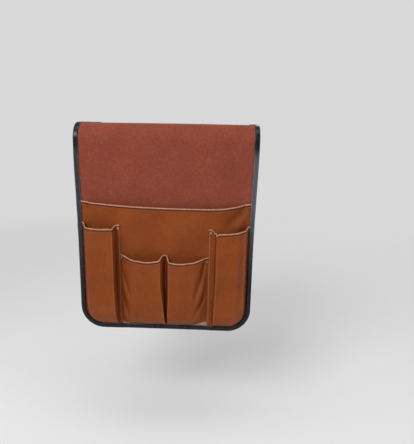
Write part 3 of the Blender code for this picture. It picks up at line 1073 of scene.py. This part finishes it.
def mapped(tree, value, low, high, start=0.0, end=1.0):
    """The value from start to end, mapped onto low to high."""
    return add_node(tree, "MapRange", {
        "Value": value, "From Min": start, "From Max": end, "To Min": low, "To Max": high,
    }).outputs["Result"]


def combined(tree, first, second, operation="MULTIPLY"):
    node = add_node(tree, "Math", {0: first, 1: second}, operation=operation)
    return node.outputs[0]


def tinted(tree, base, layers):
    """Lays colours over a base. A layer is its mask, the mask's values where the colour starts
    and where it is full, its share there, and the colour."""
    for mask, start, full, share, colour in layers:
        factor = mapped(tree, mask, 0, share, start, full)
        inputs = {0: factor, 6: base, 7: colour}
        base = add_node(tree, "Mix", inputs, data_type="RGBA").outputs[2]
    return base


def stripes(tree, vector, direction, **inputs):
    """Wavy stripes, 0 to 1."""
    inputs["Vector"] = vector
    return add_node(tree, "TexWave", inputs, bands_direction=direction).outputs["Fac"]


def new_group(name, output):
    """A node group that takes a vector and a scale and gives one value."""
    group = bpy.data.node_groups.new(name, "ShaderNodeTree")
    group.interface.new_socket(name="Vector", in_out="INPUT", socket_type="NodeSocketVector")
    group.interface.new_socket(name="Scale", in_out="INPUT", socket_type="NodeSocketFloat")
    group.interface.new_socket(name=output, in_out="OUTPUT", socket_type="NodeSocketFloat")
    start = group.nodes.new("NodeGroupInput").outputs
    return group, start, group.nodes.new("NodeGroupOutput").inputs[output]


def clouds_group():
    """Soft patches, 0 to 1, for uneven colour."""
    group, start, end = new_group("clouds", "Patches")
    patches = add_node(group, "TexNoise", {
        "Vector": start["Vector"], "Scale": start["Scale"], "Detail": 3.0, "Roughness": 0.55,
    })
    group.links.new(patches.outputs["Fac"], end)
    return group


def grain_group():
    """Leather's fine pebbles with the small wrinkles between them."""
    group, start, end = new_group("leather grain", "Height")
    pebbles = add_node(group, "TexVoronoi", {
        "Vector": start["Vector"], "Scale": start["Scale"], "Smoothness": 0.4,
    }, feature="SMOOTH_F1").outputs["Distance"]
    creases = add_node(group, "TexNoise", {
        "Vector": start["Vector"], "Scale": 260.0, "Detail": 4.0, "Roughness": 0.6,
    }).outputs["Fac"]
    sunk = combined(group, pebbles, -0.7)
    group.links.new(combined(group, sunk, creases, "ADD"), end)
    return group


def use_group(tree, group, vector, scale):
    node = add_node(tree, "Group", node_tree=group)
    tree.links.new(vector, node.inputs["Vector"])
    node.inputs["Scale"].default_value = scale
    return node.outputs[0]


def bend_masks(tree):
    """Masks of the piece's ridges and of its folds."""
    bend = add_node(tree, "Attribute", attribute_name="bend").outputs["Fac"]
    return mapped(tree, bend, 0, 1, 0.12, 0.8), mapped(tree, bend, 0, 1, -0.08, -0.6)


# Finishes


def new_material(name):
    material = bpy.data.materials.new(name)
    material.use_nodes = True
    tree = material.node_tree
    cut = add_node(tree, "UVMap", uv_map="cut").outputs["UV"]
    return material, tree, cut


def connect(tree, base, rough, bump=None, settings=None):
    """Gives a material's shader its colour, its roughness as (mask, low, high) or with the mask's
    start and end too, its bump as (height, strength, depth) and its other inputs."""
    shader = tree.nodes["Principled BSDF"]
    tree.links.new(base, shader.inputs["Base Color"])
    tree.links.new(mapped(tree, *rough), shader.inputs["Roughness"])
    if bump:
        height, strength, depth = bump
        inputs = {"Strength": strength, "Distance": depth, "Height": height}
        node = add_node(tree, "Bump", inputs)
        tree.links.new(node.outputs["Normal"], shader.inputs["Normal"])
    for name, value in (settings or {}).items():
        shader.inputs[name].default_value = value


def suede_material(clouds):
    material, tree, cut = new_material("brushed suede")
    wide = use_group(tree, clouds, cut, 22.0)
    small = use_group(tree, clouds, cut, 170.0)
    nap = use_group(tree, clouds, cut, 480.0)
    fibre = use_group(tree, clouds, cut, 1900.0)
    base = tinted(tree, (0.165, 0.035, 0.0195), (
        (wide, 0.3, 0.7, 1, (0.232, 0.053, 0.03)),
        (small, 0.4, 0.7, 0.7, (0.14, 0.028, 0.016)),
        (nap, 0.45, 0.7, 0.6, (0.29, 0.075, 0.048)),
        (fibre, 0.4, 0.75, 0.5, (0.31, 0.08, 0.05)),
    ))
    connect(tree, base, (small, 0.82, 0.98), (fibre, 0.35, 0.4 * mm), {
        "Specular IOR Level": 0.1, "Sheen Weight": 0.12, "Sheen Roughness": 0.45,
        "Sheen Tint": (1, 0.6, 0.42, 1),
    })
    return material


def leather_material(clouds, grain):
    """Brown leather, with painted shade in its folds and in the hems' grooves, and paler on its ridges
    and along its mouths, partly from wear and partly as a painted highlight. Rise is the place above
    the mouth on the cut."""
    material, tree, cut = new_material("brown leather")
    wide = use_group(tree, clouds, cut, 17.0)
    small = use_group(tree, clouds, cut, 120.0)
    pebbles = use_group(tree, grain, cut, 820.0)
    ridges, folds = bend_masks(tree)
    rise = add_node(tree, "SeparateXYZ", {0: cut}).outputs["Y"]
    # The pale band along each mouth, in patches: partly a worn cut edge, partly a painted highlight.
    wear_and_highlight_patches = mapped(tree, small, 0.36, 0.8, 0.3, 0.6)
    over = mapped(tree, rise, 1, 0.3, 2.2 * mm, 3.4 * mm)
    edge = combined(tree, mapped(tree, rise, 0, 1, -1.1 * mm, -0.2 * mm), combined(tree, over, wear_and_highlight_patches))
    # Painted shade: a dark band in the hem's stitch groove, about 1 to 4 mm below the mouth.
    below = mapped(tree, rise, 0, 1, -4.4 * mm, -3.2 * mm)
    groove = combined(tree, below, mapped(tree, rise, 0.95, 0, -2.1 * mm, -1.1 * mm))
    base = tinted(tree, (0.19, 0.041, 0.0068), (
        (wide, 0.32, 0.68, 1, (0.25, 0.058, 0.0105)),
        (small, 0.4, 0.8, 0.3, (0.28, 0.066, 0.012)),
        (pebbles, 0.35, -0.1, 0.25, (0.11, 0.018, 0.003)),
        # Painted shade in the folds.
        (folds, 0, 1, 0.6, (0.08, 0.01, 0.002)),
        # Ridges paler: partly wear, partly a painted highlight.
        (ridges, 0, 1, 0.22, (0.4, 0.17, 0.085)),
        # Painted shade in the hem's groove.
        (groove, 0, 1, 1, (0.06, 0.011, 0.003)),
        # Pale mouth edge: partly worn cut edge, partly painted highlight.
        (edge, 0, 1, 1, (0.5, 0.28, 0.2)),
    ))
    rough = (small, 0.5, 0.64)
    connect(tree, base, rough, (pebbles, 0.32, 0.5 * mm), {"Specular IOR Level": 0.15})
    return material


def backing_material(clouds):
    """The knitted cloth on the leather's back, which shows at its cut edges."""
    material, tree, cut = new_material("knitted backing")
    knit = stripes(tree, cut, "DIAGONAL", Scale=420.0, Distortion=3.0, Detail=1.0)
    patches = use_group(tree, clouds, cut, 60.0)
    base = tinted(tree, (0.33, 0.19, 0.15), (
        (patches, 0.3, 0.7, 1, (0.4, 0.24, 0.19)),
        (knit, 0, 1, 0.3, (0.22, 0.12, 0.09)),
    ))
    connect(tree, base, (knit, 0.85, 0.97), (knit, 0.3, 0.3 * mm))
    return material


def vinyl_material(clouds, grain):
    """Black vinyl with painted highlights: greyer down the upper runs below the bends and in spots on
    their ridges; its ridges are paler, partly from wear and partly as a painted highlight. Along is
    the place on the tape.
    """
    material, tree, cut = new_material("black vinyl")
    patches = use_group(tree, clouds, cut, 90.0)
    pebbles = use_group(tree, grain, cut, 1200.0)
    ridges, _ = bend_masks(tree)
    along = add_node(tree, "SeparateXYZ", {0: cut}).outputs["Y"]
    # Painted highlight: the upper runs just below the bends are greyer, on the left from 0.115 to 0.36
    # m along the tape and on the right from 0.84 to 1.07 m.
    left_highlight_start = mapped(tree, along, 0, 0.4, 0.115, 0.135)
    left = combined(tree, left_highlight_start, mapped(tree, along, 1, 0, 0.24, 0.36))
    right_highlight_start = mapped(tree, along, 0, 0.85, 0.84, 0.97)
    right = combined(tree, right_highlight_start, mapped(tree, along, 1, 0, 1.05, 1.07))
    ends = combined(tree, left, right, "ADD")
    # Painted highlight spots: patches on the ridges of those upper runs.
    painted_highlight_spots = mapped(tree, patches, 0.45, 1, 0.35, 0.65)
    painted_highlight_spots = combined(tree, combined(tree, ends, ridges), painted_highlight_spots)
    base = tinted(tree, (0.004, 0.005, 0.007), (
        (patches, 0.3, 0.7, 1, (0.008, 0.01, 0.014)),
        # Ridges paler: partly wear, partly a painted highlight.
        (ridges, 0, 1, 0.2, (0.03, 0.034, 0.042)),
        # Painted highlight down the upper runs, left and right.
        (left, 0, 1, 1, (0.06, 0.064, 0.078)),
        (right, 0, 1, 1, (0.085, 0.092, 0.108)),
        # Painted highlight spots on the ridges of the upper runs.
        (painted_highlight_spots, 0, 1, 1, (0.13, 0.142, 0.17)),
    ))
    rough = (patches, 0.2, 0.34, 0.3, 0.7)
    connect(tree, base, rough, (pebbles, 0.12, 0.3 * mm), {"Specular IOR Level": 0.24})
    return material


def lining_material(clouds):
    material, tree, cut = new_material("black lining")
    warp, weft = [stripes(tree, cut, way, Scale=300.0, Distortion=0.6) for way in "XY"]
    weave = combined(tree, warp, weft)
    patches = use_group(tree, clouds, cut, 25.0)
    base = tinted(tree, (0.016, 0.016, 0.018), (
        (weave, 0.1, 0.9, 1, (0.045, 0.045, 0.048)),
        (patches, 0.4, 0.7, 0.4, (0.03, 0.029, 0.03)),
    ))
    connect(tree, base, (weave, 0.95, 0.8), (weave, 0.4, 0.3 * mm), {"Sheen Weight": 0.15})
    return material


def foam_material(clouds):
    material, tree, cut = new_material("pale foam")
    inputs = {"Vector": cut, "Scale": 700.0}
    cells = add_node(tree, "TexVoronoi", inputs).outputs["Distance"]
    patches = use_group(tree, clouds, cut, 40.0)
    base = tinted(tree, (0.46, 0.43, 0.36), ((patches, 0.3, 0.7, 1, (0.56, 0.53, 0.46)),))
    connect(tree, base, (cells, 0.9, 0.98), (cells, 0.5, 0.5 * mm))
    return material


def thread_material(name, colour, dark, clouds):
    material, tree, _ = new_material(name)
    place = add_node(tree, "TexCoord").outputs["Object"]
    twist = stripes(tree, place, "DIAGONAL", Scale=900.0, Distortion=1.0)
    patches = use_group(tree, clouds, place, 150.0)
    base = tinted(tree, colour, ((patches, 0.3, 0.7, 0.5, dark), (twist, 1, 0, 0.4, dark)))
    connect(tree, base, (twist, 0.7, 0.55))
    return material


# Stage

camera_place = (0.08703, -0.83052, 0.006)
camera_pitch = 0.22678
camera_yaw = 0.01859
camera_roll = 0.02345
floor_level = -0.6
floor_radius = 12
floor_colour = (0.8, 0.8, 0.8)
backdrop_colour = (0.69, 0.69, 0.69)
glow_start = 0.8
glow_full = 2.2
world_strength = 0.34

# A light is its place, its aim, its width, its height and its power.
lights = {
    "key": ((-0.75, -1.5, 0.98), (0, -0.1, -0.16), 0.95, 0.8, 25.5),
    "top": ((0, -0.35, 1.5), (0, -0.1, 0), 1.4, 0.8, 9),
    "side": ((1.9, -1.1, 0.25), (0, -0.1, -0.2), 0.5, 1.4, 8),
    "rear": ((0.9, 2.3, 1.5), (0, 0.1, -0.2), 1.2, 1.0, 22),
}


def make_camera():
    """Stands about level with the panel's top, right of its middle, and looks a little down."""
    flat = math.cos(camera_pitch)
    forward = Vector((
        -math.sin(camera_yaw) * flat, math.cos(camera_yaw) * flat, -math.sin(camera_pitch),
    ))
    level = Vector((math.cos(camera_yaw), math.sin(camera_yaw), 0))
    above = level.cross(forward)
    right = level * math.cos(camera_roll) + above * math.sin(camera_roll)
    up = above * math.cos(camera_roll) - level * math.sin(camera_roll)
    data = bpy.data.cameras.new("camera")
    data.lens = 34.462
    data.sensor_width = 36
    camera = add_object("camera", data)
    turn = Matrix((right, up, -forward)).transposed().to_4x4()
    camera.matrix_world = Matrix.Translation(camera_place) @ turn
    bpy.context.scene.camera = camera


def add_light(name, place, aim, width, height, power):
    data = bpy.data.lights.new(name, "AREA")
    data.shape = "RECTANGLE"
    data.size = width
    data.size_y = height
    data.energy = power
    light = add_object(name, data)
    light.location = place
    way = Vector(aim) - Vector(place)
    light.rotation_euler = way.to_track_quat("-Z", "Y").to_euler()


def seen_as(tree, share, first, second, end):
    """Mixes two shaders for the camera's own rays, by share, and leaves the first for the rest."""
    seen = add_node(tree, "LightPath").outputs["Is Camera Ray"]
    factor = combined(tree, share, seen)
    blend = add_node(tree, "MixShader", {0: factor, 1: first, 2: second})
    tree.links.new(blend.outputs[0], tree.nodes[end].inputs["Surface"])


def make_floor():
    """A pale floor that turns into the backdrop's colour further out."""
    bm = bmesh.new()
    bmesh.ops.create_circle(bm, cap_ends=True, segments=64, radius=floor_radius)
    bmesh.ops.translate(bm, verts=bm.verts, vec=(0, 0, floor_level))
    material = bpy.data.materials.new("pale floor")
    material.use_nodes = True
    tree = material.node_tree
    shader = tree.nodes["Principled BSDF"]
    shader.inputs["Base Color"].default_value = (*floor_colour, 1)
    shader.inputs["Roughness"].default_value = 0.95
    shader.inputs["Specular IOR Level"].default_value = 0
    glow = add_node(tree, "Emission", {"Color": backdrop_colour, "Strength": 1.0})
    place = add_node(tree, "TexCoord").outputs["Object"]
    apart = add_node(tree, "VectorMath", {0: place}, operation="LENGTH").outputs["Value"]
    fade = mapped(tree, apart, 0, 1, glow_start, glow_full)
    seen_as(tree, fade, shader.outputs[0], glow.outputs[0], "Material Output")
    floor = mesh_object("floor", bm, [material])


def make_world():
    world = bpy.data.worlds.new("studio")
    bpy.context.scene.world = world
    world.use_nodes = True
    tree = world.node_tree
    light = tree.nodes["Background"]
    light.inputs["Color"].default_value = (1, 1, 1, 1)
    light.inputs["Strength"].default_value = world_strength
    inputs = {"Color": backdrop_colour, "Strength": 1.0}
    backdrop = add_node(tree, "Background", inputs)
    seen_as(tree, 1.0, light.outputs[0], backdrop.outputs[0], "World Output")


def make_stage():
    bpy.context.scene.view_settings.view_transform = "Standard"
    for name, light in lights.items():
        add_light(name, *light)
    make_floor()
    make_world()


# The organizer

tan = ((0.62, 0.3, 0.15), (0.44, 0.18, 0.08))
brown = ((0.12, 0.035, 0.012), (0.06, 0.015, 0.005))
black = ((0.03, 0.031, 0.034), (0.012, 0.012, 0.013))


def lining_top(side, x, drop):
    """Height of the lining's upper surface, lifted where the binding pinches the panel."""
    return lining_thickness + pinched_lining * (1 - fullness(side, x, drop))


def make_organizer():
    clouds = clouds_group()
    grain = grain_group()
    suede = suede_material(clouds)
    leather = leather_material(clouds, grain)
    backing = backing_material(clouds)
    vinyl = vinyl_material(clouds, grain)
    lining = lining_material(clouds)
    foam = foam_material(clouds)
    tan_thread = thread_material("tan thread", *tan, clouds)
    brown_thread = thread_material("brown thread", *brown, clouds)
    black_thread = thread_material("black thread", *black, clouds)

    for side, end, flap in ((FRONT, "front", "pocket_flap"), (REAR, "rear", "tail_flap")):
        face = layer_piece(
            "suede_" + end, side, layer_edge, face_thickness,
            lambda x, drop: panel_top(side, x, drop), [suede],
        )
        bend_with(face)
        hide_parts("saddle_face", flap + "_face")
        pad = layer_piece(
            "foam_" + end, side, foam_edge, foam_thickness,
            lambda x, drop: foam_base + foam_thickness, [foam], foam_columns,
        )
        bend_with(pad)
        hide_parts("saddle_foam", flap + "_foam")
        cloth = layer_piece(
            "lining_" + end, side, layer_edge, lining_thickness,
            lambda x, drop: lining_top(side, x, drop), [lining],
        )
        bend_with(cloth)
        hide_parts("saddle_lining", flap + "_lining")
        tape, length = binding_piece(side, vinyl)
        bend_with(tape)
        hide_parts("saddle_binding_left", "saddle_binding_right", flap + "_binding")
        thread = binding_stitches(side, tape, black_thread)
    pockets = make_pockets(leather, backing)
    mouth_stitches(pockets, brown_thread)
    seam_stitches(pockets, tan_thread)


make_camera()
make_stage()
make_organizer()
